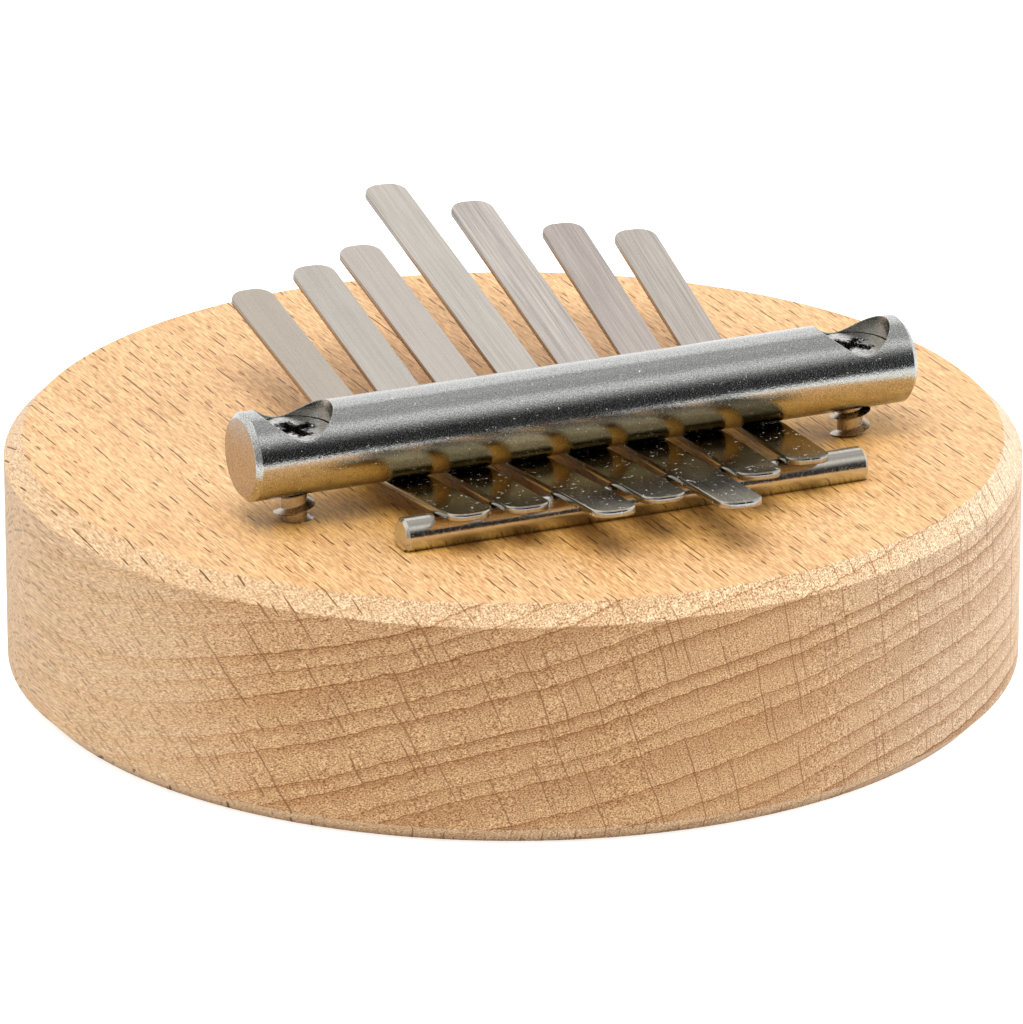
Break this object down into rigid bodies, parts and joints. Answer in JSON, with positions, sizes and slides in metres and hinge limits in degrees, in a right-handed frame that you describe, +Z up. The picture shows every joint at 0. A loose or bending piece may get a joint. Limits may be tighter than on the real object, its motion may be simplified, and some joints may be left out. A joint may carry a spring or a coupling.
{
  "type": "mbira",
  "caption": "Round block of beech with flat spring-steel tines clamped under a screwed steel bar between two thin bridge rods; each tine is plucked at its raised end.",
  "frame": {"origin": "centre of the block's flat underside, on the surface it stands on", "axes": "+Z up, +X along the pressure bar and the bridge rods, +Y the way the tines' free ends point"},
  "size_m": [0.115, 0.115, 0.0421],
  "materials": {
    "beech": "oiled, fine grain with short ray flecks",
    "bar_steel": "satin polished round bar",
    "rod_steel": "bright drawn rod",
    "screw_steel": "bright, worn recess",
    "tine_steel": "satin, brushed lengthwise"
  },
  "bodies": {
    "base": {"block": "beech", "pressure_bar": "bar_steel", "front_bridge": "rod_steel", "rear_bridge": "rod_steel", "screw_left": "screw_steel", "screw_right": "screw_steel"},
    "tine_1": {"tine_1_shank": "tine_steel"},
    "reed_1": {"tine_1_reed": "tine_steel"},
    "tine_2": {"tine_2_shank": "tine_steel"},
    "reed_2": {"tine_2_reed": "tine_steel"},
    "tine_3": {"tine_3_shank": "tine_steel"},
    "reed_3": {"tine_3_reed": "tine_steel"},
    "tine_4": {"tine_4_shank": "tine_steel"},
    "reed_4": {"tine_4_reed": "tine_steel"},
    "tine_5": {"tine_5_shank": "tine_steel"},
    "reed_5": {"tine_5_reed": "tine_steel"},
    "tine_6": {"tine_6_shank": "tine_steel"},
    "reed_6": {"tine_6_reed": "tine_steel"},
    "tine_7": {"tine_7_shank": "tine_steel"},
    "reed_7": {"tine_7_reed": "tine_steel"}
  },
  "joints": [
    {"name": "tine_1_tune", "type": "slide", "parent": "base", "child": "tine_1", "axis": [-0.0052, -0.994, 0.1095], "range_m": [0, 0.0015]},
    {"name": "tine_1_pluck", "type": "hinge", "parent": "tine_1", "child": "reed_1", "pos_m": [-0.02073, -0.0035, 0.03152], "axis": [1, -0.0052, 0], "range_deg": [-3, 3], "stiffness_Nm_per_rad": 4.83},
    {"name": "tine_2_tune", "type": "slide", "parent": "base", "child": "tine_2", "axis": [-0.0416, -0.9931, 0.1095], "range_m": [0, 0.0015]},
    {"name": "tine_2_pluck", "type": "hinge", "parent": "tine_2", "child": "reed_2", "pos_m": [-0.01295, -0.00351, 0.03152], "axis": [0.9991, -0.0419, 0], "range_deg": [-3, 3], "stiffness_Nm_per_rad": 4.38},
    {"name": "tine_3_tune", "type": "slide", "parent": "base", "child": "tine_3", "axis": [-0.0347, -0.9934, 0.1095], "range_m": [0, 0.0015]},
    {"name": "tine_3_pluck", "type": "hinge", "parent": "tine_3", "child": "reed_3", "pos_m": [-0.00574, -0.00351, 0.03152], "axis": [0.9994, -0.0349, 0], "range_deg": [-3, 3], "stiffness_Nm_per_rad": 4.05},
    {"name": "tine_4_tune", "type": "slide", "parent": "base", "child": "tine_4", "axis": [-0.0503, -0.9927, 0.1095], "range_m": [0, 0.0015]},
    {"name": "tine_4_pluck", "type": "hinge", "parent": "tine_4", "child": "reed_4", "pos_m": [0.00177, -0.00352, 0.03152], "axis": [0.9987, -0.0506, 0], "range_deg": [-3, 3], "stiffness_Nm_per_rad": 3.04},
    {"name": "tine_5_tune", "type": "slide", "parent": "base", "child": "tine_5", "axis": [-0.0745, -0.9912, 0.1095], "range_m": [0, 0.0015]},
    {"name": "tine_5_pluck", "type": "hinge", "parent": "tine_5", "child": "reed_5", "pos_m": [0.00919, -0.00354, 0.03152], "axis": [0.9972, -0.075, 0], "range_deg": [-3, 3], "stiffness_Nm_per_rad": 3.48},
    {"name": "tine_6_tune", "type": "slide", "parent": "base", "child": "tine_6", "axis": [-0.1091, -0.988, 0.1095], "range_m": [0, 0.0015]},
    {"name": "tine_6_pluck", "type": "hinge", "parent": "tine_6", "child": "reed_6", "pos_m": [0.01675, -0.00358, 0.03152], "axis": [0.994, -0.1097, 0], "range_deg": [-3, 3], "stiffness_Nm_per_rad": 4.19},
    {"name": "tine_7_tune", "type": "slide", "parent": "base", "child": "tine_7", "axis": [-0.1246, -0.9861, 0.1095], "range_m": [0, 0.0015]},
    {"name": "tine_7_pluck", "type": "hinge", "parent": "tine_7", "child": "reed_7", "pos_m": [0.02425, -0.0036, 0.03152], "axis": [0.9921, -0.1253, 0], "range_deg": [-3, 3], "stiffness_Nm_per_rad": 4.64}
  ]
}
